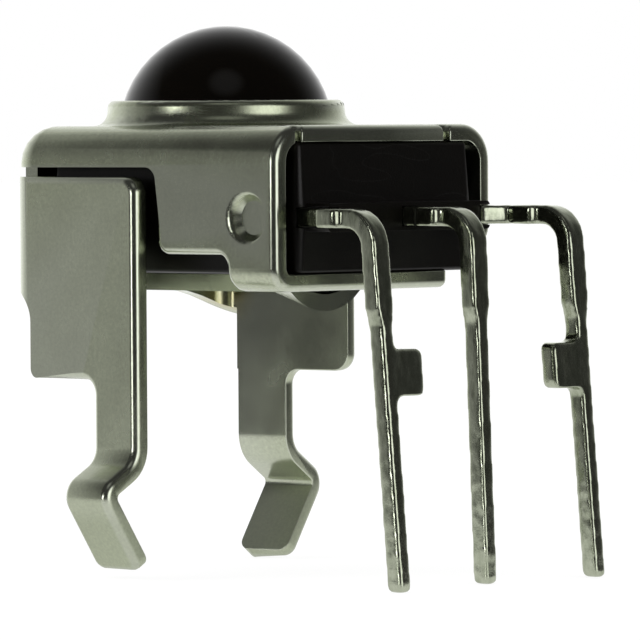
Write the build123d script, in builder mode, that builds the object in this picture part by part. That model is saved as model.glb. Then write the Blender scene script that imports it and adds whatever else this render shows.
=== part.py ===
from build123d import *
import math
import os

# Infrared receiver module: a black moulded package with a lens dome, held by one folded
# sheet-metal holder that snaps into a circuit board, with three formed leads.
# Millimetres. +Z is up, +X is the way the leads leave, and the lens axis is X = Y = 0.
# Z = 0 is the plane of the tips of the legs and leads.

# Sheet-metal holder
sheet = 0.30
stand_height = 8.00
side_gap = 0.22
front_reach = 3.87
back_reach = 2.79
rim_bend = 0.66
corner_bend = 0.67

# Side walls of the holder, measured down from the top face
strip_depth = 0.73
skirt_rise = 0.64
skirt_length = 2.90
skirt_corner = 0.25
front_corner = 0.45
notch_width = 0.16
notch_depth = 0.22
near_notch_inset = 0.62
far_notch_inset = 1.18

# Dimples that grip the package
dimple_rim = 0.96
dimple_floor = 0.60
dimple_setback = 0.70

# Flange folded from the near wall under the package
flange_width = 1.19
flange_depth = 2.90
flange_bend = 0.42
flange_end_inset = 1.15
flange_corner = 0.15

# Tongue folded from the back wall, with a bead pressed down at its end
tongue_width = 2.06
tongue_drop = 0.05
tongue_bend = 0.42
tongue_gap = 0.25
tongue_relief = 0.14
bead_length = 1.29
bead_depth = 0.36
bead_width = 1.80
bead_point = 0.05

# Wings folded forward from the back wall, and the snap-in legs
wing_gap = 0.17
wing_bend = 0.60
near_wing_length = 2.89
far_wing_length = 2.57
wing_drop = 4.50
wing_splay = 5.0
wing_corner = 0.32
wing_rear_corner = 0.17
gusset_fillet = 0.55
gusset_flat = 0.60
gusset_drop = 0.75
web_overlap = 0.10
near_leg_width = 1.16
far_leg_width = 1.12
leg_fillet = 0.28
kink_start_height = 2.10
near_kink_height = 1.58
far_kink_height = 1.48
near_kink_out = 0.85
far_kink_out = 0.95
near_tip_height = 0.11
tip_in = 0.08
kink_radius = 0.40
tip_corner = 0.22

# Drawn collar round the lens
collar_height = 0.45
collar_wall = 0.19
collar_fillet = 0.25
collar_draft = 4.0
collar_lip = 0.13
collar_edge = 0.05

# Moulded package
dome_radius = 1.936
dome_centre_depth = 0.147
package_width = 4.60
package_proud = 0.06
package_draft = 4.0
package_corner = 0.20
package_edge = 0.08
nose_length = 0.54
nose_height = 0.50
nose_corner = 0.08
lens_clearance = 0.05

# Leads
lead_pitch = 2.54
lead_thickness = 0.36
lead_depth = 1.61
lead_standoff = 2.06
lead_bend = 0.32
lead_width = 0.42
pin_width = 0.29
pin_depth = 3.15
pin_taper = 0.30
outer_lean = 5.1
middle_lean = 2.4
stub_length = 0.50
stub_width = 0.66
stub_setback = 0.10
lead_inset = 0.26
jog_gap = 0.04
ear_depth = 3.84
ear_height = 0.82
ear_reach = 0.84
ear_fillet = 0.13
tip_chamfer = 0.05

# Lead frame, chips and bond wires inside the package
die_pad_width = 1.70
die_pad_margin = 0.18
post_length = 0.70
post_width = 0.75
post_setback = 0.45
photodiode_size = 1.30
photodiode_height = 0.28
chip_length = 1.00
chip_width = 1.20
chip_height = 0.22
chip_spacing = 0.35
wire_radius = 0.02
wire_rise = 0.20
bond_pad_offset = 0.35

# How near a length must be when edges are picked by size
close = 0.01

# Sizes that follow
top = stand_height
holder_width = package_width + 2 * (side_gap + sheet)
half_width = holder_width / 2
inner_half = half_width - sheet
wing_x = wing_bend - back_reach
wing_top = top - strip_depth - wing_gap
wing_bottom = top - wing_drop
web_top = top - min(rim_bend, strip_depth - web_overlap / 2)
splay = math.radians(wing_splay)
wing_corner_y = half_width - wing_bend * math.tan(splay)
near_wing_end = wing_bend + near_wing_length
far_wing_end = wing_bend + far_wing_length
package_front = front_reach + package_proud
# The package's top back edge stays clear of the bend inside the rim
package_back = rim_bend - package_edge - back_reach
# The package is held between the top face and the flange, and gripped by the dimples
package_top = top - sheet
package_bottom = top - flange_depth + sheet
dimple_depth = side_gap
nose_front = package_front + nose_length
dome_z = top - dome_centre_depth
hole_radius = dome_radius + lens_clearance
# Flat of the top face left beside the collar; its root fillet stays on it where there is some
flat_left = half_width - rim_bend - hole_radius - collar_wall
collar_root = min(collar_fillet, flat_left) if flat_left > 0 else collar_fillet
flange_back = front_reach - flange_width
dimple_x = front_reach - dimple_setback
skirt_back = front_reach - skirt_length
skirt_depth = flange_depth - skirt_rise
near_notch_y = near_notch_inset - half_width
far_notch_y = half_width - far_notch_inset
flange_free_end = half_width - flange_end_inset
tongue_depth = flange_depth + tongue_drop
tongue_reach = flange_back - tongue_gap
lead_z = top - lead_depth
lead_reach = front_reach + lead_standoff
root_inset = package_width / 2 - lead_inset
stub_front = lead_reach - lead_thickness / 2 - lead_bend - stub_setback
jog_front = stub_front - stub_length
jog_back = nose_front + jog_gap
post_back = package_front - post_setback - post_length
post_y = root_inset + (lead_width - post_width) / 2
pad_face = lead_z + lead_thickness / 2
chip_x = photodiode_size / 2 + chip_spacing + chip_length / 2
die_pad_back = -photodiode_size / 2 - die_pad_margin
die_pad_front = chip_x + chip_length / 2 + die_pad_margin


# Inside of the hood: where the sheet isn't
with BuildPart() as hood_core:
    with BuildSketch(Plane.XY.offset(top - sheet)) as core_plan:
        with Locations((sheet - back_reach, 0)):
            Rectangle(front_reach + back_reach, 2 * inner_half, align=(Align.MIN, Align.CENTER))
        fillet(core_plan.vertices().group_by(Axis.X)[0], corner_bend - sheet)
    extrude(amount=-tongue_depth)
    rim = hood_core.faces().sort_by(Axis.Z)[-1].edges().sort_by(Axis.X)[:-1]
    fillet(rim, rim_bend - sheet)

# Back wall and wings, folded round the two back corners
with BuildPart() as wings:
    with BuildSketch(Plane.XY.offset(wing_bottom)):
        with BuildLine():
            along_near = Vector(math.cos(splay), -math.sin(splay))
            along_far = Vector(math.cos(splay), math.sin(splay))
            near_corner = Vector(-back_reach, -wing_corner_y)
            far_corner = Vector(-back_reach, wing_corner_y)
            folds = FilletPolyline(
                near_corner + along_near * near_wing_end,
                near_corner,
                far_corner,
                far_corner + along_far * far_wing_end,
                radius=wing_bend,
            )
            offset(folds, amount=sheet, side=Side.RIGHT)
        make_face()
    extrude(amount=wing_top - wing_bottom)
    # Slots beside the tongue, then the lower edge: a step into the near wing's rear end, and
    # a long curve down into the far wing's
    with BuildSketch(Plane.YZ.offset(-back_reach)):
        with Locations((0, 0)):
            Rectangle(tongue_width + 2 * tongue_relief, 2 * (top - tongue_depth + tongue_bend))
    extrude(amount=sheet, mode=Mode.SUBTRACT)
    with BuildSketch(Plane.XZ) as under_near_wall:
        with Locations((wing_x, 0)):
            Rectangle(wing_bend + sheet, 2 * (top - tongue_depth), align=(Align.MAX, Align.CENTER))
        fillet(under_near_wall.vertices().group_by(Axis.X)[-1].sort_by(Axis.Y)[-1], gusset_fillet)
    extrude(amount=half_width + sheet, mode=Mode.SUBTRACT)
    with BuildSketch(Plane.YZ.offset(-back_reach)):
        with BuildLine():
            TangentArc(
                (gusset_flat, top - tongue_depth),
                (half_width + sheet, top - tongue_depth - gusset_drop),
                tangent=(1, 0),
            )
            Polyline(
                (half_width + sheet, top - tongue_depth - gusset_drop),
                (half_width + sheet, 0),
                (0, 0),
                (0, top - tongue_depth),
                (gusset_flat, top - tongue_depth),
            )
        make_face()
    extrude(amount=wing_bend, mode=Mode.SUBTRACT)
    across = wings.edges().filter_by(lambda e: abs(e.length - sheet) < close)
    front_edges = across.filter_by_position(Axis.X, wing_x + far_wing_length / 2, front_reach)
    far_lower_edge = front_edges.group_by(Axis.Z)[0].sort_by(Axis.Y)[-1]
    fillet(front_edges.group_by(Axis.Z)[-1] + [far_lower_edge], wing_corner)
    rear_edges = across.filter_by_position(Axis.X, -back_reach, wing_x + far_wing_length / 2)
    fillet(rear_edges.group_by(Axis.Z)[0].sort_by(Axis.Y)[0], wing_rear_corner)
    # The back wall runs up into the hood between the two side slits
    with BuildSketch(Plane.YZ.offset(-back_reach)):
        with Locations((0, wing_top)):
            Rectangle(2 * (half_width - wing_bend + web_overlap), 2 * (web_top - wing_top))
    extrude(amount=sheet)


# Tongue folded forward from the back wall's lower edge, with a bead pressed down at its end
with BuildPart() as tongue:
    with BuildSketch(Plane.XZ):
        with BuildLine():
            drop = FilletPolyline(
                (-back_reach, top - rim_bend - sheet),
                (-back_reach, top - tongue_depth),
                (tongue_reach, top - tongue_depth),
                radius=tongue_bend,
            )
            offset(drop, amount=sheet, side=Side.LEFT)
        make_face()
    extrude(amount=tongue_width / 2, both=True)
    for height, mode in ((0, Mode.ADD), (sheet, Mode.SUBTRACT)):
        for x, share in ((tongue_reach - bead_length, bead_point), (tongue_reach, 1)):
            face_z = top - tongue_depth + height
            with BuildSketch(Plane.YZ.offset(x)):
                with BuildLine():
                    left = (-share * bead_width / 2, face_z)
                    right = (share * bead_width / 2, face_z)
                    ThreePointArc(left, (0, face_z - share * bead_depth), right)
                    Line(right, left)
                make_face()
        loft(mode=mode)

# Flange folded under the package from the front of the near wall
with BuildPart() as flange:
    with BuildSketch(Plane.YZ.offset(flange_back)):
        with BuildLine():
            fold = FilletPolyline(
                (-half_width, top - skirt_depth + skirt_corner),
                (-half_width, top - flange_depth),
                (flange_free_end, top - flange_depth),
                radius=flange_bend,
            )
            offset(fold, amount=sheet, side=Side.LEFT)
        make_face()
    extrude(amount=flange_width)
    free_end = flange.faces().sort_by(Axis.Y)[-1]
    fillet(free_end.edges().filter_by(Axis.Z), flange_corner)

# Snap-in legs: strips that kink outward under the board and back in to their tips, one at
# the near wing's front end and one at the far wing's back end
legs = []
for side, run, leg_width, kink, tip in (
    (-1, near_wing_end, near_leg_width, (near_kink_out, near_kink_height), (-tip_in, near_tip_height)),
    (1, wing_bend, far_leg_width, (far_kink_out, far_kink_height), (-tip_in, 0)),
):
    out = Vector(-math.sin(splay), side * math.cos(splay), 0)
    along = Vector(math.cos(splay), side * math.sin(splay), 0)
    foot = Vector(-back_reach, side * wing_corner_y, 0) + along * run
    with BuildPart() as leg:
        with BuildSketch(Plane(origin=foot, x_dir=out, z_dir=out.cross(Vector(0, 0, 1)))):
            with BuildLine():
                hook = FilletPolyline(
                    (0, wing_bottom + leg_fillet),
                    (0, kink_start_height),
                    kink,
                    tip,
                    radius=kink_radius,
                )
                offset(hook, amount=sheet, side=Side.RIGHT)
            make_face()
        extrude(amount=leg_width)
        across = leg.edges().filter_by(lambda e: abs(e.length - sheet) < close)
        fillet(across.group_by(Axis.Z)[0], tip_corner)
    legs.append(leg.part)


# Where the collar rises out of the top face and its rounded rim
def on_collar_base(edge):
    middle = edge @ 0.5
    return abs(math.hypot(middle.X, middle.Y) - hole_radius - collar_wall) < collar_wall / 2


# Holder, one sheet: the hood is drawn first, then its walls are cut and the folds join it
with BuildPart() as holder:
    with BuildSketch(Plane.XY.offset(top)) as hood_plan:
        with Locations((-back_reach, 0)):
            Rectangle(front_reach + back_reach, holder_width, align=(Align.MIN, Align.CENTER))
        fillet(hood_plan.vertices().group_by(Axis.X)[0], corner_bend)
    extrude(amount=-tongue_depth)
    fillet(holder.faces().sort_by(Axis.Z)[-1].edges().sort_by(Axis.X)[:-1], rim_bend)
    add(hood_core.part, mode=Mode.SUBTRACT)
    with BuildSketch(Plane.XZ) as under_walls:
        with BuildLine():
            Polyline(
                (-back_reach - sheet, top - strip_depth),
                (skirt_back, top - strip_depth),
                (skirt_back, top - skirt_depth),
                (front_reach + sheet, top - skirt_depth),
                (front_reach + sheet, 0),
                (-back_reach - sheet, 0),
                close=True,
            )
        make_face()
        corners = under_walls.vertices().filter_by_position(Axis.Y, top - skirt_depth, top - strip_depth)
        fillet(corners.filter_by_position(Axis.X, wing_x, front_reach), skirt_corner)
    extrude(amount=half_width + sheet, both=True, mode=Mode.SUBTRACT)
    far_edges = holder.edges().filter_by(Axis.Y).filter_by_position(Axis.Y, 0, half_width)
    fillet(far_edges.group_by(Axis.X)[-1].sort_by(Axis.Z)[0], front_corner)
    add(wings.part)
    add(tongue.part)
    add(flange.part)
    add(legs)
    across = holder.edges().filter_by(lambda e: abs(e.length - sheet) < close)
    root = across.filter_by_position(Axis.Z, top - skirt_depth - close, top - skirt_depth + close)
    near_root = root.filter_by_position(Axis.Y, -half_width, 0)
    fillet(near_root.filter_by_position(Axis.X, flange_back - close, flange_back + close), skirt_corner)
    shoulders = across.filter_by_position(Axis.Z, wing_bottom - close, wing_bottom + close)
    roots_end = wing_x + far_wing_length - wing_corner - close
    fillet(shoulders.filter_by_position(Axis.X, wing_x + leg_fillet, roots_end), leg_fillet)
    # Lens opening, and the collar drawn up round it
    with BuildSketch(Plane.XY.offset(top)):
        Circle(hole_radius)
    extrude(amount=-sheet, mode=Mode.SUBTRACT)
    with BuildSketch(Plane.XZ) as collar_profile:
        with BuildLine():
            collar_top = top + collar_height
            narrowing = (collar_height + sheet) * math.tan(math.radians(collar_draft))
            Polyline(
                (hole_radius, top - sheet),
                (hole_radius - narrowing, collar_top),
                (hole_radius - narrowing + collar_wall, collar_top),
                (hole_radius + collar_wall, top - sheet),
                close=True,
            )
        make_face()
        fillet(collar_profile.vertices().group_by(Axis.Y)[-1].sort_by(Axis.X)[-1], collar_lip)
        fillet(collar_profile.vertices().group_by(Axis.Y)[-1].sort_by(Axis.X)[0], collar_edge)
        fillet(collar_profile.vertices().group_by(Axis.Y)[0].sort_by(Axis.X)[0], collar_lip)
    revolve(axis=Axis.Z)
    base = holder.edges().filter_by_position(Axis.Z, top - sheet / 2, top + close)
    fillet(base.filter_by(on_collar_base), collar_root)
    # Grip dimples, pressed in on both sides
    for side in (-1, 1):
        centre = (dimple_x, side * half_width, lead_z)
        wall_face = Plane(origin=centre, x_dir=(-side, 0, 0), z_dir=(0, side, 0))
        flare = math.degrees(math.atan((dimple_rim - dimple_floor) / 2 / dimple_depth))
        with BuildSketch(wall_face.offset(-sheet)):
            Circle(dimple_rim / 2)
        extrude(amount=-dimple_depth, taper=flare)
        with BuildSketch(wall_face):
            Circle(dimple_rim / 2)
        extrude(amount=-dimple_depth, taper=flare, mode=Mode.SUBTRACT)
    # Relief notches in the front edge of the top face
    with BuildSketch(Plane.XY.offset(top)):
        with Locations((front_reach, near_notch_y), (front_reach, far_notch_y)):
            SlotOverall(2 * notch_depth, notch_width)
    extrude(amount=-rim_bend, mode=Mode.SUBTRACT)

# Leads, stamped flat, then bent down; they are listed from the near side
leads = {}
for side, name, lean in (
    (-1, "lead_output", outer_lean),
    (0, "lead_ground", middle_lean),
    (1, "lead_supply", outer_lean),
):
    y = side * lead_pitch
    root_y = side * root_inset
    swing = lead_z * math.tan(math.radians(lean))
    with BuildPart() as lead:
        # Bend and pin: the side profile first, cut back to the front outline with its ear
        with BuildSketch(Plane.XZ.offset(-y)):
            with BuildLine():
                FilletPolyline(
                    (stub_front, lead_z),
                    (lead_reach, lead_z),
                    (lead_reach + swing, 0),
                    radius=lead_bend + lead_thickness / 2,
                )
                offset(amount=lead_thickness / 2, kind=Kind.INTERSECTION)
            make_face()
        extrude(amount=ear_reach, both=True)
        with BuildSketch(Plane.YZ.offset(stub_front)):
            with BuildLine():
                Polyline(
                    (y, top),
                    (y - lead_width / 2, top),
                    (y - lead_width / 2, top - pin_depth),
                    (y - pin_width / 2, top - pin_depth - pin_taper),
                    (y - pin_width / 2, 0),
                    (y, 0),
                    close=True,
                )
            make_face()
            mirror(about=Plane.YZ.offset(y))
            if side:
                with Locations((y - side * ear_reach / 2, top - ear_depth - ear_height / 2)):
                    Rectangle(ear_reach, ear_height)
        extrude(amount=lead_reach, mode=Mode.INTERSECT)
        if side:
            ear_top = top - ear_depth
            across = lead.edges().filter_by(Axis.X)
            ear_edges = across.filter_by_position(Axis.Z, ear_top - ear_height - close, ear_top + close)
            fillet(ear_edges, ear_fillet)
        chamfer(lead.faces().sort_by(Axis.Z)[0].edges(), tip_chamfer)
        # Flat part outside the package: jog, and the stub left by the cut tie bar
        with BuildSketch(Plane.XY.offset(lead_z - lead_thickness / 2)):
            with BuildLine():
                half = lead_width / 2
                Polyline(
                    (jog_front, y - half),
                    (jog_back, root_y - half),
                    (post_back, root_y - half),
                    (post_back, root_y + half),
                    (jog_back, root_y + half),
                    (jog_front, y + half),
                    close=True,
                )
            make_face()
            with Locations(((jog_front + stub_front) / 2, y)):
                Rectangle(stub_length, stub_width)
            # Inside the package: bonding post, or the pad that carries the chips
            with Locations((post_back, side * post_y)):
                Rectangle(post_length, post_width, align=(Align.MIN, Align.CENTER))
            if not side:
                with Locations((die_pad_back, 0)):
                    pad_length = die_pad_front - die_pad_back
                    Rectangle(pad_length, die_pad_width, align=(Align.MIN, Align.CENTER))
                    Rectangle(post_back - die_pad_back, lead_width, align=(Align.MIN, Align.CENTER))
        extrude(amount=lead_thickness)
    leads[name] = lead.part

# Chips, set on the ground lead's pad
on_base = (Align.CENTER, Align.CENTER, Align.MIN)
with BuildPart() as photodiode_chip:
    with Locations((0, 0, pad_face)):
        Box(photodiode_size, photodiode_size, photodiode_height, align=on_base)

with BuildPart() as receiver_chip:
    with Locations((chip_x, 0, pad_face)):
        Box(chip_length, chip_width, chip_height, align=on_base)

# Bond wires, each a low arch between two pads, six-sided because they are so thin
post_x = post_back + post_length / 2
on_post = pad_face + wire_radius
on_diode = pad_face + photodiode_height + wire_radius
on_chip = pad_face + chip_height + wire_radius
diode_pad = bond_pad_offset * photodiode_size
chip_pad_x = bond_pad_offset * chip_length
chip_pad_y = bond_pad_offset * chip_width
wire_ends = {
    "bond_wire_diode": ((diode_pad, 0, on_diode), (chip_x - chip_pad_x, 0, on_chip)),
    "bond_wire_output": ((chip_x, -chip_pad_y, on_chip), (post_x, -post_y, on_post)),
    "bond_wire_supply": ((chip_x, chip_pad_y, on_chip), (post_x, post_y, on_post)),
    "bond_wire_ground": ((chip_x + chip_pad_x, 0, on_chip), (post_x, 0, on_post)),
}
wires = {}
for name, (start, end) in wire_ends.items():
    crown = (Vector(start) + Vector(end)) * 0.5 + Vector(0, 0, wire_rise)
    with BuildPart() as wire:
        with BuildLine() as arch:
            ThreePointArc(start, crown, end)
        with BuildSketch(Plane(origin=arch.line @ 0, z_dir=arch.line % 0)):
            RegularPolygon(wire_radius, 6)
        sweep()
    wires[name] = wire.part

# Package: moulded round the lead frame, with its draft on both sides of the parting plane
with BuildPart() as package:
    for away, height in ((1, package_top - lead_z), (-1, lead_z - package_bottom)):
        parting = Plane(origin=((package_front + package_back) / 2, 0, lead_z), z_dir=(0, 0, away))
        with BuildSketch(parting):
            RectangleRounded(package_front - package_back, package_width, package_corner)
        extrude(amount=height, taper=package_draft)
    fillet(package.faces().sort_by(Axis.Z)[-1].edges(), package_edge)
    fillet(package.faces().sort_by(Axis.Z)[0].edges(), package_edge)
    # Nose that the leads come out of
    with BuildSketch(Plane.YZ.offset(package_front - nose_length)):
        with Locations((0, lead_z)):
            RectangleRounded(package_width - 2 * package_corner, nose_height, nose_corner)
    extrude(amount=2 * nose_length)
    # Lens dome over the photodiode
    with BuildSketch(Plane.XZ):
        with BuildLine():
            CenterArc((0, dome_z), dome_radius, 0, 90)
            Polyline(
                (0, dome_z + dome_radius),
                (0, lead_z),
                (dome_radius, lead_z),
                (dome_radius, dome_z),
            )
        make_face()
    revolve(axis=Axis.Z)
    add([*leads.values(), photodiode_chip.part, receiver_chip.part, *wires.values()], mode=Mode.SUBTRACT)

pieces = {
    "shield_holder": holder.part,
    "package": package.part,
    **leads,
    "photodiode_chip": photodiode_chip.part,
    "receiver_chip": receiver_chip.part,
    **wires,
}
os.makedirs("parts", exist_ok=True)
for name, piece in pieces.items():
    piece.label = name
    export_step(piece, f"parts/{name}.step")
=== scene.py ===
# %% [markdown]
# # Infrared receiver module
# A black resin package with a lens dome sits in a folded sheet-metal holder. Three leads
# come out of its front and turn down, and two snap-in legs stand beside them.
# The whole thing is under 10 mm tall, so every length below is a few tenths of a millimetre.
# The solids come from the imported CAD model. This first cell loads them and bakes each one's place
# into its mesh.

# %% Load the CAD model
import math

import bmesh
import bpy
from mathutils import Matrix, Vector
from mathutils.bvhtree import BVHTree


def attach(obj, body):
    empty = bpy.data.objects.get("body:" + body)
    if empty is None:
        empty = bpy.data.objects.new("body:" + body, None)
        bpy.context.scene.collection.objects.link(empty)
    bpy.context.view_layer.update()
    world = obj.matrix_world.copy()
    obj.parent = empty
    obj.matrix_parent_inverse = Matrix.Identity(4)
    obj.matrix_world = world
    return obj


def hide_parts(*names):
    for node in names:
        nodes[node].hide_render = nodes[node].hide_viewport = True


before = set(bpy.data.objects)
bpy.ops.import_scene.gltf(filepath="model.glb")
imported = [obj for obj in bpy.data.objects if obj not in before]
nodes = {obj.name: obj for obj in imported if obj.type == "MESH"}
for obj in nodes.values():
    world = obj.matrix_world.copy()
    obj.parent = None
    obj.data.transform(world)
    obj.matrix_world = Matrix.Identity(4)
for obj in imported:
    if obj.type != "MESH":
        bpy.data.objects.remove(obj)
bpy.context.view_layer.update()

MM = 0.001
print("nodes:", sorted(nodes))

# %% [markdown]
# ## The camera
# The picture was taken with a long lens, level with the top of the holder, from the side
# where the leads are. A long lens could be faked with an orthographic camera, but the three
# leads show a little perspective, so this is a real one, 120 mm away. It doesn't look
# straight at the lens axis, so three small angles turn it aside, down and round.

# %% Camera
focal_length, sensor_width = 374.99, 36.0
camera_distance = 120 * MM
lens_height = 8 * MM
view_azimuth = math.radians(44.0)
look_aside, look_down, lean = 0.7954, 1.6770, -0.3357

camera_data = bpy.data.cameras.new("camera")
camera_data.lens = focal_length
camera_data.sensor_width = sensor_width
camera_data.clip_start = 0.01
camera_data.clip_end = 10.0
camera = bpy.data.objects.new("camera", camera_data)
bpy.context.scene.collection.objects.link(camera)
bpy.context.scene.camera = camera

turn = Matrix.Rotation(view_azimuth - math.radians(look_aside), 3, "Z")
tilt = Matrix.Rotation(math.radians(90 - look_down), 3, "X")
roll = Matrix.Rotation(math.radians(lean), 3, "Z")
camera.rotation_euler = (turn @ tilt @ roll).to_euler()
camera.location = (
    camera_distance * math.sin(view_azimuth),
    -camera_distance * math.cos(view_azimuth),
    lens_height,
)
print("camera at", tuple(round(v, 4) for v in camera.location), "lens", camera_data.lens)

# %% [markdown]
# ## Small helpers for node trees
# Each finish below is a small node tree, and building one by hand takes a lot of typing.
# These helpers make a material with its Principled shader ready, add a node and link its
# inputs, and do the few steps that every finish needs: a noise, a change of range, a mix of
# two colours and a bump.

# %% Node helpers
NOISE_LOW, NOISE_HIGH = 0.3, 0.7  # nearly all of a noise texture's values lie between these
WHITE = (1, 1, 1, 1)


def new_finish(name):
    """A material with a Principled shader; gives the material, its tree and the shader."""
    material = bpy.data.materials.new(name)
    material.use_nodes = True
    tree = material.node_tree
    shader = tree.nodes["Principled BSDF"]
    return material, tree, shader


def add_node(tree, kind, settings=None, **inputs):
    """Adds a node. An input is a value or a socket to link from.
    In its name _ stands for a space, and _0 or _1 for its number."""
    node = tree.nodes.new(kind)
    for key, value in (settings or {}).items():
        setattr(node, key, value)
    for key, value in inputs.items():
        number = key[1:]
        socket = node.inputs[int(number) if number.isdigit() else key.replace("_", " ")]
        if isinstance(value, bpy.types.NodeSocket):
            tree.links.new(value, socket)
        else:
            socket.default_value = value
    return node


def object_coordinates(tree, scale=(1, 1, 1)):
    """Object coordinates in millimetres, stretched by scale."""
    place = add_node(tree, "ShaderNodeTexCoord")
    mapping = add_node(tree, "ShaderNodeMapping", Vector=place.outputs["Object"])
    mapping.inputs["Scale"].default_value = [s / MM for s in scale]
    return mapping.outputs["Vector"]


def noise(tree, place, scale, detail, roughness=0.5):
    """A noise's grey value; scale is how many lumps fit in a millimetre."""
    node = add_node(
        tree, "ShaderNodeTexNoise", Vector=place, Scale=scale, Detail=detail, Roughness=roughness
    )
    return node.outputs["Fac"]


def calculate(tree, operation, first, second=0.0):
    """One step of arithmetic on two values or sockets."""
    settings = {"operation": operation}
    return add_node(tree, "ShaderNodeMath", settings, _0=first, _1=second).outputs[0]


def remap(tree, value, low, high, to_low, to_high, smooth=False):
    """A value moved from one range to another, and held there."""
    kind = {"interpolation_type": "SMOOTHSTEP"} if smooth else {}
    node = add_node(
        tree, "ShaderNodeMapRange", kind,
        Value=value, From_Min=low, From_Max=high, To_Min=to_low, To_Max=to_high,
    )
    return node.outputs["Result"]


def spread(tree, grey, to_low, to_high):
    """A noise's grey value spread over a range."""
    return remap(tree, grey, NOISE_LOW, NOISE_HIGH, to_low, to_high)


def blend(tree, factor, first, second):
    """A colour between two colours, each a value or a socket."""
    node = add_node(tree, "ShaderNodeMix", {"data_type": "RGBA"}, Factor=factor)
    for socket, colour in (("A", first), ("B", second)):
        if isinstance(colour, bpy.types.NodeSocket):
            tree.links.new(colour, node.inputs[socket])
        else:
            node.inputs[socket].default_value = (*colour, 1)
    return node.outputs["Result"]


def bumps(tree, height, distance, strength=1.0, over=None):
    """A bump of so many metres, on top of another one where that is given."""
    node = add_node(tree, "ShaderNodeBump", Height=height, Distance=distance, Strength=strength)
    if over:
        tree.links.new(over, node.inputs["Normal"])
    return node.outputs["Normal"]


print("helpers for the finishes are ready")

# %% [markdown]
# ## The holder's metal
# The holder is tinned steel strip, stamped and folded. Up close its face isn't a mirror: a
# fine grain scatters the light, rolling has left faint streaks, and the tin has cloudy
# patches. Three noises of different sizes do that. Where the edges roll over and the sheet
# bends, the mesh will carry a "rolled" value: the metal is smoother there, and its colour is
# painted lighter as a painted highlight. The inside of the far wing's root is tinted
# yellowish, and the legs' hooks are scuffed dull near the ground. A painted map could place
# these; a distance and a height do it here.

# %% Satin tinned steel
dull_tin, clear_tin = (0.42, 0.46, 0.31), (0.51, 0.56, 0.385)
dark_grain, grain_share = (0.22, 0.24, 0.16), 0.45
# painted highlight: the lighter tin laid over the rolled edges and bends
edge_highlight_tin, edge_highlight_share = (0.60, 0.62, 0.56), 0.5
# a yellowish tint on the inside of the far wing's root, strongest at its centre
yellow_patch_tint, yellow_patch_strength = (0.52, 0.45, 0.17), 0.8
yellow_patch_centre, yellow_patch_core, yellow_patch_edge = (-2.3, 2.3, 4.9), 0.2, 0.7  # mm
scuff_full, scuff_end = 0.9, 1.6  # mm above the ground
satin_range = (0.25, 0.33)  # roughness
polish_gain, scuff_loss = 0.08, 0.36  # what polishing takes off it and scuffing adds
strip_stretch = (7.0, 7.0, 0.5)


def tin_colour(tree, place, grain, cloud, rolled):
    """Cloudy tin with dark grain in it, painted lighter where it is rolled as a painted highlight,
    and a yellowish patch.
    """
    patches = blend(tree, spread(tree, cloud, 0.0, 1.0), dull_tin, clear_tin)
    speckled = blend(tree, spread(tree, grain, 0.0, grain_share), patches, dark_grain)
    # painted highlight: the colour is lighter where the surface turns quickly
    highlight_amount = remap(tree, rolled, 0.0, 1.0, 0.0, edge_highlight_share)
    tinned = blend(tree, highlight_amount, speckled, edge_highlight_tin)
    # the yellowish tint fades with the distance from its centre
    away = add_node(
        tree, "ShaderNodeVectorMath", {"operation": "DISTANCE"}, _0=place, _1=yellow_patch_centre
    )
    near_yellow_patch = remap(
        tree, away.outputs["Value"], yellow_patch_core, yellow_patch_edge, yellow_patch_strength, 0.0, smooth=True
    )
    spotty = remap(tree, cloud, 0.35, 0.6, 0.2, 1.0)
    return blend(tree, calculate(tree, "MULTIPLY", near_yellow_patch, spotty), tinned, yellow_patch_tint)


def tin_roughness(tree, place, cloud, rolled):
    """Satin, smoother on the rolled edges and scuffed on the hooks."""
    satin = spread(tree, cloud, *satin_range)
    polish = remap(tree, rolled, 0.0, 1.0, 0.0, polish_gain)
    height = add_node(tree, "ShaderNodeSeparateXYZ", Vector=place).outputs["Z"]
    scuffed = remap(tree, height, scuff_full, scuff_end, scuff_loss, 0.0, smooth=True)
    return calculate(tree, "ADD", calculate(tree, "SUBTRACT", satin, polish), scuffed)


def satin_steel():
    """The holder's finish."""
    material, tree, shader = new_finish("satin_tinned_steel")
    place = object_coordinates(tree)
    grain = noise(tree, place, scale=17.0, detail=3.0, roughness=0.7)
    cloud = noise(tree, place, scale=1.1, detail=3.0, roughness=0.55)
    streak = noise(tree, object_coordinates(tree, strip_stretch), scale=2.2, detail=2.0)
    rolled = add_node(tree, "ShaderNodeAttribute", {"attribute_name": "rolled"}).outputs["Fac"]
    colour = tin_colour(tree, place, grain, cloud, rolled)
    tree.links.new(colour, shader.inputs["Base Color"])
    tree.links.new(tin_roughness(tree, place, cloud, rolled), shader.inputs["Roughness"])
    fine = bumps(tree, grain, distance=0.002 * MM, strength=0.25)
    relief = bumps(tree, streak, distance=0.002 * MM, strength=0.2, over=fine)
    tree.links.new(relief, shader.inputs["Normal"])
    shader.inputs["Metallic"].default_value = 1.0
    return material


holder_metal = satin_steel()
print("made", holder_metal.name)

# %% [markdown]
# ## The leads' tin
# The leads were dipped in tin after stamping. Tin runs before it sets, so it rounds the
# edges and leaves a bright, slightly lumpy skin. A smooth metal would look like polished
# wire, so a noise bends the reflections. Its lumps are longer along the lead, which breaks
# the bright lines on the edges into beads.

# %% Bright dipped tin
# painted shade and highlight: the lumps' noise colours the tin darker in its hollows and lighter on
# its crests
shaded_hollow_tin, highlit_crest_tin = (0.34, 0.37, 0.275), (0.48, 0.51, 0.40)
tin_range = (0.12, 0.22)  # roughness
lead_stretch = (1.0, 1.0, 0.45)


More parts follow.
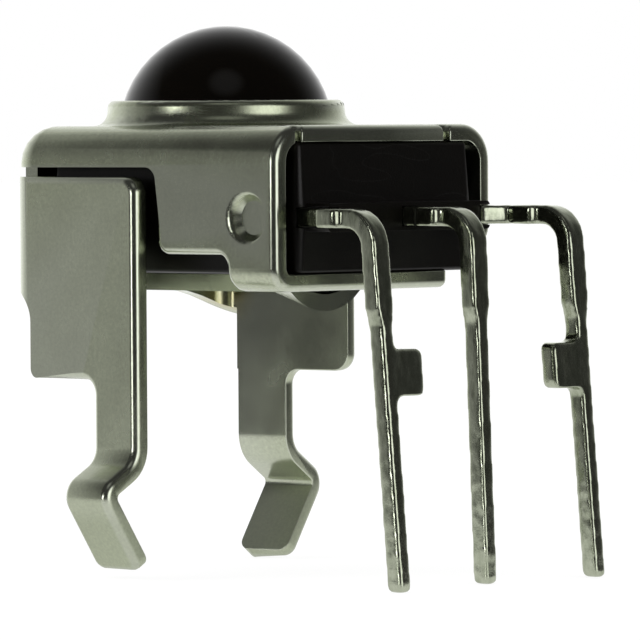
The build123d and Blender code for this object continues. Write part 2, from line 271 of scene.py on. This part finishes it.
def dipped_tin():
    """The leads' finish."""
    material, tree, shader = new_finish("bright_dipped_tin")
    lumps = noise(tree, object_coordinates(tree, lead_stretch), scale=6.0, detail=2.0)
    grain = noise(tree, object_coordinates(tree), scale=30.0, detail=2.0)
    # painted shade in the lumps' hollows, painted highlight on their crests
    tone = blend(tree, spread(tree, lumps, 0.0, 1.0), shaded_hollow_tin, highlit_crest_tin)
    tree.links.new(tone, shader.inputs["Base Color"])
    tree.links.new(spread(tree, grain, *tin_range), shader.inputs["Roughness"])
    skin = bumps(tree, lumps, distance=0.02 * MM, strength=0.35)
    relief = bumps(tree, grain, distance=0.003 * MM, strength=0.3, over=skin)
    tree.links.new(relief, shader.inputs["Normal"])
    shader.inputs["Metallic"].default_value = 1.0
    return material


lead_tin = dipped_tin()
print("made", lead_tin.name)

# %% [markdown]
# ## The package's resin
# The resin looks black because it stops visible light and lets infrared through. The dome
# comes out of a polished mould pocket and is glossy; the body has a faint spark-eroded grain
# and a few handling scratches. A scratch could be drawn as a curve, but a thin band taken
# out of a stretched noise gives wandering lines for nothing.

# %% Black resin
deep_resin, pale_resin = (0.0012, 0.0008, 0.0004), (0.0026, 0.0019, 0.0010)
scratched_resin = (0.006, 0.006, 0.005)
scratch_level, scratch_width = 0.64, 0.002  # of the drifting noise
scratch_stretch = (0.8, 0.25, 1.3)
dome_foot, body_top = 7.80, 7.72  # mm: glossy above, grained below
dome_roughness, body_roughness = 0.06, 0.32
resin_ior = 1.36


def resin_scratches(tree, body):
    """1 on a scratch and 0 elsewhere, on the body only."""
    drift = noise(tree, object_coordinates(tree, scratch_stretch), scale=1.4, detail=1.0)
    off_line = calculate(tree, "ABSOLUTE", calculate(tree, "SUBTRACT", drift, scratch_level))
    line = remap(tree, off_line, 0.0, scratch_width, 1.0, 0.0)
    return calculate(tree, "MULTIPLY", line, body)


def black_resin():
    """The package's finish."""
    material, tree, shader = new_finish("black_infrared_resin")
    place = object_coordinates(tree)
    height = add_node(tree, "ShaderNodeSeparateXYZ", Vector=place).outputs["Z"]
    body = remap(tree, height, dome_foot, body_top, 0.0, 1.0)
    grain = noise(tree, place, scale=26.0, detail=3.0)
    cloud = noise(tree, place, scale=2.0, detail=2.0)
    scratch = resin_scratches(tree, body)
    resin = blend(tree, cloud, deep_resin, pale_resin)
    colour = blend(tree, scratch, resin, scratched_resin)
    tree.links.new(colour, shader.inputs["Base Color"])
    roughness = remap(tree, body, 0.0, 1.0, dome_roughness, body_roughness)
    tree.links.new(roughness, shader.inputs["Roughness"])
    eroded = bumps(tree, grain, distance=0.003 * MM, strength=body)
    relief = bumps(tree, scratch, distance=-0.004 * MM, strength=0.35, over=eroded)
    tree.links.new(relief, shader.inputs["Normal"])
    shader.inputs["IOR"].default_value = resin_ior
    return material


package_resin = black_resin()
print("made", package_resin.name)

# %% [markdown]
# ## Silicon and gold
# The chips and their bond wires are sealed in the resin. They aren't seen, but they get
# their own finish all the same: polished dark silicon with a faint grid of metal on it, and
# drawn gold. The grid could be drawn cell by cell; a brick texture with thin joints is near
# enough to it, as nobody looks closer.

# %% Silicon and gold
silicon_tones = {
    "Color1": (0.09, 0.09, 0.13, 1),
    "Color2": (0.12, 0.12, 0.16, 1),
    "Mortar": (0.30, 0.29, 0.27, 1),
}
deep_gold, bright_gold = (0.80, 0.55, 0.18), (0.90, 0.68, 0.28)


def chip_silicon():
    """The two chips' finish."""
    material, tree, shader = new_finish("polished_silicon")
    cells = add_node(
        tree, "ShaderNodeTexBrick", Vector=object_coordinates(tree), Scale=9.0, **silicon_tones
    )
    tree.links.new(cells.outputs["Color"], shader.inputs["Base Color"])
    shader.inputs["Roughness"].default_value = 0.18
    shader.inputs["Metallic"].default_value = 0.6
    return material


def wire_gold():
    """The bond wires' finish."""
    material, tree, shader = new_finish("drawn_gold_wire")
    marks = noise(tree, object_coordinates(tree), scale=40.0, detail=1.0)
    tree.links.new(blend(tree, marks, deep_gold, bright_gold), shader.inputs["Base Color"])
    shader.inputs["Roughness"].default_value = 0.22
    shader.inputs["Metallic"].default_value = 1.0
    return material


silicon = chip_silicon()
gold = wire_gold()
print("made", silicon.name, "and", gold.name)

# %% [markdown]
# ## Dress the pieces that stay
# The package, chips and wires are shown as they come from the CAD model. The package gets a
# thin live bevel, because a mould has no perfectly sharp edges. The CAD model could have
# one too, but a modifier is easier to try out and leaves the solid alone. A CAD mesh comes in
# as loose triangles: Weld joins them, Decimate merges the flat ones, and then Bevel finds
# the true edges.

# %% Finishes on CAD pieces
weld_reach = 0.002 * MM
flat_within = math.radians(0.6)
mould_edge = 0.03 * MM
mould_edge_from = math.radians(40)


def dress(node, finish):
    """Gives a CAD node its finish."""
    mesh = nodes[node].data
    mesh.materials.clear()
    mesh.materials.append(finish)


def join_triangles(piece):
    """Adds the two modifiers that turn loose triangles into whole faces."""
    weld = piece.modifiers.new("join_triangles", "WELD")
    weld.merge_threshold = weld_reach
    flat = piece.modifiers.new("merge_flat_faces", "DECIMATE")
    flat.decimate_type = "DISSOLVE"
    flat.angle_limit = flat_within
    flat.delimit = set()


def round_edges(piece, width, sharp_from):
    """Rounds a CAD node's sharp edges with live modifiers; its own mesh stays as it is."""
    join_triangles(piece)
    bevel = piece.modifiers.new("rounded_edge", "BEVEL")
    bevel.width = width
    bevel.segments = 2
    bevel.limit_method = "ANGLE"
    bevel.angle_limit = sharp_from
    piece.modifiers.new("even_shading", "WEIGHTED_NORMAL")
    for face in piece.data.polygons:
        face.use_smooth = True


dress("package", package_resin)
for chip in ("photodiode_chip", "receiver_chip"):
    dress(chip, silicon)
for wire in ("bond_wire_diode", "bond_wire_output", "bond_wire_supply", "bond_wire_ground"):
    dress(wire, gold)
round_edges(nodes["package"], mould_edge, mould_edge_from)
print("dressed the package, 2 chips and 4 wires")

# %% [markdown]
# ## Copies that can be worked on
# A CAD node's own vertices stay where they are. A piece that gets a new skin starts as a
# copy of the node's mesh instead, with the triangles joined. Its modifiers are applied at
# once, because what stands in for a CAD node has to be a plain mesh at the origin.

# %% Copy a CAD mesh
def made_plain(piece, name):
    """The piece with its modifiers applied, as a new plain object at the origin."""
    bpy.context.view_layer.update()
    graph = bpy.context.evaluated_depsgraph_get()
    mesh = bpy.data.meshes.new_from_object(piece.evaluated_get(graph), depsgraph=graph)
    mesh.transform(piece.matrix_world)
    mesh.name = name
    bpy.data.objects.remove(piece)
    plain = bpy.data.objects.new(name, mesh)
    bpy.context.scene.collection.objects.link(plain)
    return plain


def plain_copy(node, name):
    """A CAD node's mesh with its triangles joined, as a new object at the origin."""
    source = nodes[node]
    scratch = bpy.data.objects.new(name, source.data.copy())
    bpy.context.scene.collection.objects.link(scratch)
    scratch.matrix_world = source.matrix_world
    join_triangles(scratch)
    return made_plain(scratch, name)


holder = plain_copy("shield_holder", "holder_with_rolled_edges")
stamped = BVHTree.FromPolygons(
    [v.co.copy() for v in holder.data.vertices], [tuple(p.vertices) for p in holder.data.polygons]
)
print("copied the holder:", len(holder.data.polygons), "faces after joining")

# %% [markdown]
# ## Where the holder was pressed, not cut
# A punch drags the sheet's outer face down before it shears, so a stamped edge is rolled
# over on one side and stays crisp on the other. On the real holder that roll is what
# catches the light. The collar, the dimples and the bead are different: a press drew them,
# and their edges are soft in the solids already. Beside the slits and behind the rear bends
# a roll would run into the bend. So these places are marked here and keep their edges.

# %% Places on the holder
# All in mm, from the lens axis and the ground. "side" is the distance from the middle plane.
anywhere = (-math.inf, math.inf)
wall_side = (2.2, math.inf)
collar_foot, collar_reach = 7.2, 2.6
dimple_x, dimple_z, dimple_radius, dimple_reach = 3.17, 6.39, 0.48, 0.50
rim_play = 0.03
bead_zone = {"x": (0.9, math.inf), "side": (-math.inf, 1.3), "z": (-math.inf, 5.5)}
slit_zones = (
    {"x": (-math.inf, 1.0), "side": (2.2, 2.86), "z": (7.12, 7.45)},
    {"x": (-1.5, 1.0), "side": (2.2, 2.86), "z": (7.03, 7.45)},
)
notch_zone = {"side": (2.0, 2.5), "z": (7.6, math.inf)}
rear_bends_from = -1.9
legs_below = 4.45
inside_of_shell = Vector((0.5, 0, 6.4))


def inside(place, x=anywhere, side=anywhere, z=anywhere):
    """Whether a place is in a zone."""
    limits = ((place.x, x), (abs(place.y), side), (place.z, z))
    return all(low < value < high for value, (low, high) in limits)


def from_dimple(place):
    """How far a place is from the dimples' axis."""
    return math.hypot(place.x - dimple_x, place.z - dimple_z)


def pressed(place):
    """Whether a place is on the collar, a dimple, the bead or a slit beside a bend."""
    collar = place.z > collar_foot and math.hypot(place.x, place.y) < collar_reach
    dimple = inside(place, side=wall_side) and from_dimple(place) < dimple_reach
    slit = any(inside(place, **zone) for zone in slit_zones)
    return collar or dimple or slit or inside(place, **bead_zone)


def dimple_rim(ends):
    """Whether an edge is on a dimple's outer rim, which the press left round."""
    return all(abs(from_dimple(end) - dimple_radius) < rim_play for end in ends)


def looks_outward(place, normal):
    """Whether a skin at this place faces out of the folded shell."""
    if place.z < legs_below:
        return normal.y * place.y > 0
    return normal.dot(place - inside_of_shell) > 0


print("dimples at x", dimple_x, "z", dimple_z, "with a rim of radius", dimple_radius, "mm")

# %% [markdown]
# ## Which edges roll over
# A plain bevel would round both sides of the sheet alike. So this cell gives each sharp
# edge a bevel weight of its own: a ray shot into the metal tells skin (the sheet is 0.3 mm
# thick there) from cut face (the strip is much wider), and which way the skin looks tells
# outside from inside. Where both faces of an edge pass for skin, as on the corner arcs, the
# larger one is taken, except in the two small notches of the front edge.

# %% Weigh the edges
sheet = 0.30 * MM
skin_up_to = 1.15 * sheet
stamped_edge_from = math.radians(35)
outer_weight, inner_weight, other_weight = 1.0, 0.16, 0.2
probe_in, probe_sink, probe_reach, probe_back = 0.03 * MM, 0.004 * MM, 3 * MM, 0.01 * MM


def is_skin(tree, edge, face):
    """Whether the metal behind a face is only as thick as the sheet, close to this edge."""
    middle = (edge.verts[0].co + edge.verts[1].co) / 2
    run = (edge.verts[1].co - edge.verts[0].co).normalized()
    into = face.normal.cross(run)
    for way in (into, -into):
        start = middle + way * probe_in - face.normal * probe_sink
        hit = tree.ray_cast(start, -face.normal, probe_reach)
        back = tree.ray_cast(start, face.normal, probe_back)
        if hit[0] and back[0]:
            return hit[3] < skin_up_to
    return False


def edge_kind(tree, edge, ends):
    """What a sharp edge is, and its bevel weight."""
    if any(pressed(end) for end in ends) or max(end.x for end in ends) < rear_bends_from:
        return "pressed", 0.0
    skins = [face for face in edge.link_faces if is_skin(tree, edge, face)]
    if len(skins) == 2 and not inside(ends[0], **notch_zone):
        skins = [max(skins, key=lambda face: face.calc_area())]
    if len(skins) != 1:
        return "other", other_weight
    if looks_outward(ends[0], skins[0].normal):
        return "outer", outer_weight
    return "inner", inner_weight


def weigh_edges(mesh):
    """Gives each sharp edge its bevel weight; tells how many of each kind there are."""
    form = bmesh.new()
    form.from_mesh(mesh)
    tree = BVHTree.FromBMesh(form)
    weight = form.edges.layers.float.new("bevel_weight_edge")
    count = {"outer": 0, "inner": 0, "other": 0, "pressed": 0}
    for edge in form.edges:
        if len(edge.link_faces) != 2 or edge.calc_face_angle() < stamped_edge_from:
            continue
        ends = [vert.co / MM for vert in edge.verts]
        kind, amount = edge_kind(tree, edge, ends)
        edge[weight] = amount
        edge.smooth = amount > 0 or dimple_rim(ends)
        count[kind] += 1
    form.to_mesh(mesh)
    form.free()
    return count


print("edges:", weigh_edges(holder.data))

# %% [markdown]
# ## Roll the edges over
# Now one Bevel modifier does all edges, each as wide as its weight says. Its clamp is off,
# because one short edge on a corner arc would make every roll too narrow to see. Weighted
# normals keep the flats flat: the small faces of a roll don't bend their shading.

# %% Roll the edges over
roll_width = 0.14 * MM
roll_segments = 4
flats_first = 100  # the most that a large face can outweigh a small one

roll_over = holder.modifiers.new("rolled_edge", "BEVEL")
roll_over.width = roll_width
roll_over.segments = roll_segments
roll_over.limit_method = "WEIGHT"
roll_over.use_clamp_overlap = False
roll_over.miter_outer = "MITER_ARC"
even_shading = holder.modifiers.new("even_shading", "WEIGHTED_NORMAL")
even_shading.weight = flats_first
even_shading.keep_sharp = True
for face in holder.data.polygons:
    face.use_smooth = True
holder = made_plain(holder, "holder_with_rolled_edges")
farthest = max(stamped.find_nearest(v.co)[3] for v in holder.data.vertices)
print("farthest from the stamped sheet:", round(farthest / MM, 3), "mm")

# %% [markdown]
# ## Where the metal is rolled
# The metal's finish has to know where it is smoother and where its painted highlight lies.
# That could be painted on by hand, but the mesh knows it already: each vertex gets the largest
# angle between the faces round it, as a value from 0 on the flats to 1 where the surface turns
# quickly.

# %% Mark the rolled places
quick_turn = math.radians(22)

form = bmesh.new()
form.from_mesh(holder.data)
turning = []
for vert in form.verts:
    angles = [edge.calc_face_angle(0) for edge in vert.link_edges]
    turning.append(min(1.0, max(angles, default=0) / quick_turn))
form.free()
rolled = holder.data.attributes.new("rolled", "FLOAT", "POINT")
rolled.data.foreach_set("value", turning)
holder.data.materials.clear()
holder.data.materials.append(holder_metal)
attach(holder, "root")
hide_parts("shield_holder")
print("holder faces:", len(holder.data.polygons))

# %% [markdown]
# ## The leads, dipped in tin
# Molten tin covers the stamped lead and pulls itself round every edge. A bevel would round
# the edges too, but not the places where a lead bends or its ear begins. A small Geometry
# Nodes tree does it to all three leads: it swells the lead by the coat, fills it with a
# volume, meshes that again with one even skin, evens it out and then sinks it a little
# where a noise says so. It works in millimetres, because a volume grid this fine would be
# too small in metres.

# %% The dipping tree
coat = 0.031  # mm
filled_band = 0.06  # mm, two cells of the grid
skin_level = 0.42  # where the skin lies in the volume, from 0 outside to 1 inside
lump_scale = 3.2  # per mm

dip_sockets = (
    ("Geometry", "NodeSocketGeometry"),
    ("Grid mm", "NodeSocketFloat"),
    ("Even out", "NodeSocketInt"),
    ("Lump mm", "NodeSocketFloat"),
    ("Seed", "NodeSocketFloat"),
    ("Tin", "NodeSocketMaterial"),
)


def along_normals(tree, geometry, amount):
    """Moves a skin along its normals; amount is in mm."""
    normal = add_node(tree, "GeometryNodeInputNormal").outputs["Normal"]
    push = add_node(
        tree, "ShaderNodeVectorMath", {"operation": "SCALE"}, _0=normal, Scale=amount
    )
    moved = add_node(
        tree, "GeometryNodeSetPosition", Geometry=geometry, Offset=push.outputs["Vector"]
    )
    return moved.outputs["Geometry"]


def new_skin(tree, solid, grid):
    """Fills a solid with a volume and meshes that again."""
    by_size = {"resolution_mode": "VOXEL_SIZE"}
    volume = add_node(
        tree, "GeometryNodeMeshToVolume", by_size,
        Mesh=solid, Voxel_Size=grid, Interior_Band_Width=filled_band,
    )
    skin = add_node(
        tree, "GeometryNodeVolumeToMesh", by_size,
        Volume=volume.outputs["Volume"], Voxel_Size=grid, Threshold=skin_level,
    )
    return skin.outputs["Mesh"]


def evened_out(tree, skin, rounds):
    """Moves each vertex between its neighbours, so many times."""
    place = add_node(tree, "GeometryNodeInputPosition").outputs["Position"]
    even = add_node(
        tree, "GeometryNodeBlurAttribute", {"data_type": "FLOAT_VECTOR"},
        Value=place, Iterations=rounds,
    )
    smooth = add_node(
        tree, "GeometryNodeSetPosition", Geometry=skin, Position=even.outputs["Value"]
    )
    return smooth.outputs["Geometry"]


def lumpy(tree, skin, depth, seed):
    """Sinks the skin by up to depth where a noise is low."""
    hollows = add_node(
        tree, "ShaderNodeTexNoise", {"noise_dimensions": "4D"}, W=seed, Scale=lump_scale, Detail=1.0
    )
    sunk = calculate(tree, "MULTIPLY", depth, -1.0)
    return along_normals(tree, skin, spread(tree, hollows.outputs["Fac"], sunk, 0.0))


def dipping_tree():
    """The tree that dips a lead in tin."""
    tree = bpy.data.node_groups.new("dip_in_tin", "GeometryNodeTree")
    tree.is_modifier = True
    for name, kind in dip_sockets:
        tree.interface.new_socket(name, in_out="INPUT", socket_type=kind)
    tree.interface.new_socket("Geometry", in_out="OUTPUT", socket_type="NodeSocketGeometry")
    given = add_node(tree, "NodeGroupInput").outputs
    bigger = add_node(
        tree, "GeometryNodeTransform", Geometry=given["Geometry"], Scale=(1 / MM,) * 3
    )
    skin = new_skin(tree, along_normals(tree, bigger.outputs["Geometry"], coat), given["Grid mm"])
    skin = evened_out(tree, skin, given["Even out"])
    skin = lumpy(tree, skin, given["Lump mm"], given["Seed"])
    smaller = add_node(tree, "GeometryNodeTransform", Geometry=skin, Scale=(MM,) * 3)
    shaded = add_node(tree, "GeometryNodeSetShadeSmooth", Geometry=smaller.outputs["Geometry"])
    real = add_node(tree, "GeometryNodeRealizeInstances", Geometry=shaded.outputs["Geometry"])
    tinned = add_node(
        tree, "GeometryNodeSetMaterial", Geometry=real.outputs["Geometry"], Material=given["Tin"]
    )
    add_node(tree, "NodeGroupOutput", Geometry=tinned.outputs["Geometry"])
    return tree


dip = dipping_tree()
dip_inputs = {
    item.name: item.identifier for item in dip.interface.items_tree if item.in_out == "INPUT"
}
print("tree", dip.name, "takes", sorted(dip_inputs))

# %% [markdown]
# ## Dip the three leads
# Each lead goes through the same tree with its own seed, so that no two have the same lumps.
# Then it is a plain mesh again, and its corners are printed to show that the coat and the
# rounding cancel out: the tips still stand on the ground.

# %% Dip the leads
grid_size = 0.03  # mm
even_rounds = 7
lump_depth = 0.008  # mm
first_seed, seed_step = 2.0, 3.1


def corner(mesh, pick):
    """The lowest (pick is min) or highest (max) coordinates of a mesh, in mm."""
    return [round(pick(v.co[axis] for v in mesh.vertices) / MM, 3) for axis in range(3)]


for number, node in enumerate(("lead_output", "lead_ground", "lead_supply")):
    lead = plain_copy(node, "tinned_" + node)
    dipped = lead.modifiers.new("dip_in_tin", "NODES")
    dipped.node_group = dip
    dipped[dip_inputs["Grid mm"]] = grid_size
    dipped[dip_inputs["Even out"]] = even_rounds
    dipped[dip_inputs["Lump mm"]] = lump_depth
    dipped[dip_inputs["Seed"]] = first_seed + seed_step * number
    dipped[dip_inputs["Tin"]] = lead_tin
    lead = made_plain(lead, "tinned_" + node)
    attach(lead, "root")
    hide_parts(node)
    print(lead.name, "faces", len(lead.data.polygons))
    print("  from", corner(lead.data, min), "to", corner(lead.data, max))

# %% [markdown]
# ## Floor
# The floor is plain and nearly white. It is seen edge-on here, and a painted floor alone
# would end in a grey seam. So it glows for the camera to meet the white behind it, and still
# shows a little of the object's shadow. Metal is all reflection, so what the floor shows to
# a reflected ray matters too: white near the object, and farther out the room takes over.

# %% Floor
half_floor = 0.6  # metres
floor_paint = (0.90, 0.90, 0.90, 1)
camera_glow, glow_share = 1.10, 0.80
mirrored_glow = 0.95
mirrored_near, mirrored_far = 7.0, 26.0  # mm from the lens axis


def mix_shaders(tree, factor, first, second):
    """One shader turning into another."""
    settings = {"_0": factor, "_1": first.outputs[0], "_2": second.outputs[0]}
    return add_node(tree, "ShaderNodeMixShader", **settings)


def pale_floor():
    """The floor's finish, which differs for the camera and for the metal's reflections."""
    material = bpy.data.materials.new("pale_floor")
    material.use_nodes = True
    tree = material.node_tree
    tree.nodes.clear()
    rays = add_node(tree, "ShaderNodeLightPath").outputs
    paint = add_node(tree, "ShaderNodeBsdfDiffuse", Color=floor_paint)
    glow = add_node(tree, "ShaderNodeEmission", Color=WHITE, Strength=camera_glow)
    seen = calculate(tree, "MULTIPLY", rays["Is Camera Ray"], glow_share)
    plain = mix_shaders(tree, seen, paint, glow)
    radius = add_node(
        tree, "ShaderNodeVectorMath", {"operation": "LENGTH"}, _0=object_coordinates(tree)
    )
    far = remap(
        tree, radius.outputs["Value"], mirrored_near, mirrored_far, 0.0, 1.0, smooth=True
    )
    near = add_node(tree, "ShaderNodeEmission", Color=WHITE, Strength=mirrored_glow)
    mirrored = mix_shaders(tree, far, near, add_node(tree, "ShaderNodeBsdfTransparent"))
    whole = mix_shaders(tree, rays["Is Glossy Ray"], plain, mirrored)
    add_node(tree, "ShaderNodeOutputMaterial", Surface=whole.outputs[0])
    return material


floor_mesh = bpy.data.meshes.new("floor")
floor_mesh.from_pydata(
    [(x * half_floor, y * half_floor, 0) for x, y in ((-1, -1), (1, -1), (1, 1), (-1, 1))],
    [], [(0, 1, 2, 3)],
)
floor_mesh.materials.append(pale_floor())
floor = bpy.data.objects.new("floor", floor_mesh)
bpy.context.scene.collection.objects.link(floor)
print("floor is", 2 * half_floor, "m wide")

# %% [markdown]
# ## The room that the metal mirrors
# The camera sees plain white. Reflected rays see a room instead: bright towards the back,
# dim on the other sides and above, with a narrow lamp on the left, a broad one on the right
# and a faint one overhead for the dome. Lamps alone could light the metal, but each mirrored
# edge needs something to mirror. The levels were matched on the collar, which mirrors every
# direction in turn.

# %% Directions in the room
back = Vector((-0.695, 0.719, 0.0))

world = bpy.data.worlds.new("studio")
bpy.context.scene.world = world
world.use_nodes = True
room_tree = world.node_tree
room_tree.nodes.clear()
direction = add_node(room_tree, "ShaderNodeTexCoord").outputs["Generated"]


def heading(azimuth, elevation):
    """The unit vector towards an azimuth and elevation in degrees."""
    a, e = math.radians(azimuth), math.radians(elevation)
    return Vector((math.cos(a) * math.cos(e), math.sin(a) * math.cos(e), math.sin(e)))


def towards(way):
    """How far a direction points to this way, from -1 to 1."""
    settings = {"operation": "DOT_PRODUCT"}
    dot = add_node(room_tree, "ShaderNodeVectorMath", settings, _0=direction, _1=way)
    return dot.outputs["Value"]


def lamp_glow(azimuth, elevation, outer, inner, level):
    """A soft round lamp: full inside one angle and nothing outside the other."""
    edges = math.cos(math.radians(outer)), math.cos(math.radians(inner))
    return remap(room_tree, towards(heading(azimuth, elevation)), *edges, 0.0, level, smooth=True)


print("the backdrop is towards", tuple(round(v, 3) for v in back))

# %% [markdown]
# ## Levels of the room
# The room is a sum: a backdrop that fades away from the back, walls that get dimmer
# towards the front, and the three lamps. A shaded picture of a room would do too, but a few
# directions and widths are easier to tune against the metal.

# %% World
backdrop_level, backdrop_fade = 1.3, 2.3
lightest_wall = heading(-168, -6)
wall_starts, front_wall, rear_wall = 0.66, 0.045, 0.54
even_level = 0.75  # what dull surfaces get from every side
room_lamps = (  # azimuth, elevation, outer and inner angle, level
    (-98, 6, 10, 4, 6.0),
    (-6, 7, 25, 8, 2.0),
    (-46, 57, 20, 3, 0.25),
)

behind = calculate(room_tree, "MAXIMUM", towards(back), 0.0)
backdrop = calculate(room_tree, "POWER", behind, backdrop_fade)
backdrop = calculate(room_tree, "MULTIPLY", backdrop, backdrop_level)
walls = remap(room_tree, towards(lightest_wall), wall_starts, 1.0, front_wall, rear_wall)
level = calculate(room_tree, "ADD", walls, backdrop)
for room_lamp in room_lamps:
    level = calculate(room_tree, "ADD", level, lamp_glow(*room_lamp))
mirrored_room = add_node(room_tree, "ShaderNodeBackground", Color=WHITE, Strength=level)
even_room = add_node(room_tree, "ShaderNodeBackground", Color=WHITE, Strength=even_level)
white_room = add_node(room_tree, "ShaderNodeBackground", Color=WHITE, Strength=1.0)
rays = add_node(room_tree, "ShaderNodeLightPath").outputs
unseen = mix_shaders(room_tree, rays["Is Glossy Ray"], even_room, mirrored_room)
seen = mix_shaders(room_tree, rays["Is Camera Ray"], unseen, white_room)
add_node(room_tree, "ShaderNodeOutputWorld", Surface=seen.outputs[0])
print("room nodes:", len(room_tree.nodes))

# %% [markdown]
# ## Lamps
# Two soft lamps stand in the room as well. The room's light alone would do for the metal,
# but it throws no shadow. They light what isn't a mirror, such as the resin and the floor,
# and are hidden from reflections, which the room above takes care of.

# %% Lamps
lamp_size = 0.10  # metres
aim_height = 5 * MM


def soft_lamp(name, place, power):
    """A square lamp that faces the object and isn't mirrored in it."""
    data = bpy.data.lights.new(name, "AREA")
    data.shape = "SQUARE"
    data.size = lamp_size
    data.energy = power
    lamp = bpy.data.objects.new(name, data)
    bpy.context.scene.collection.objects.link(lamp)
    lamp.location = place
    aim = Vector((0, 0, aim_height)) - lamp.location
    lamp.rotation_euler = aim.to_track_quat("-Z", "Y").to_euler()
    lamp.visible_glossy = False
    return lamp


key_lamp = soft_lamp("key_lamp", (-0.10, -0.10, 0.16), 0.10)
fill_lamp = soft_lamp("fill_lamp", (0.16, 0.02, 0.12), 0.06)
bpy.context.scene.view_settings.view_transform = "Standard"
print("lamps:", key_lamp.name, fill_lamp.name)
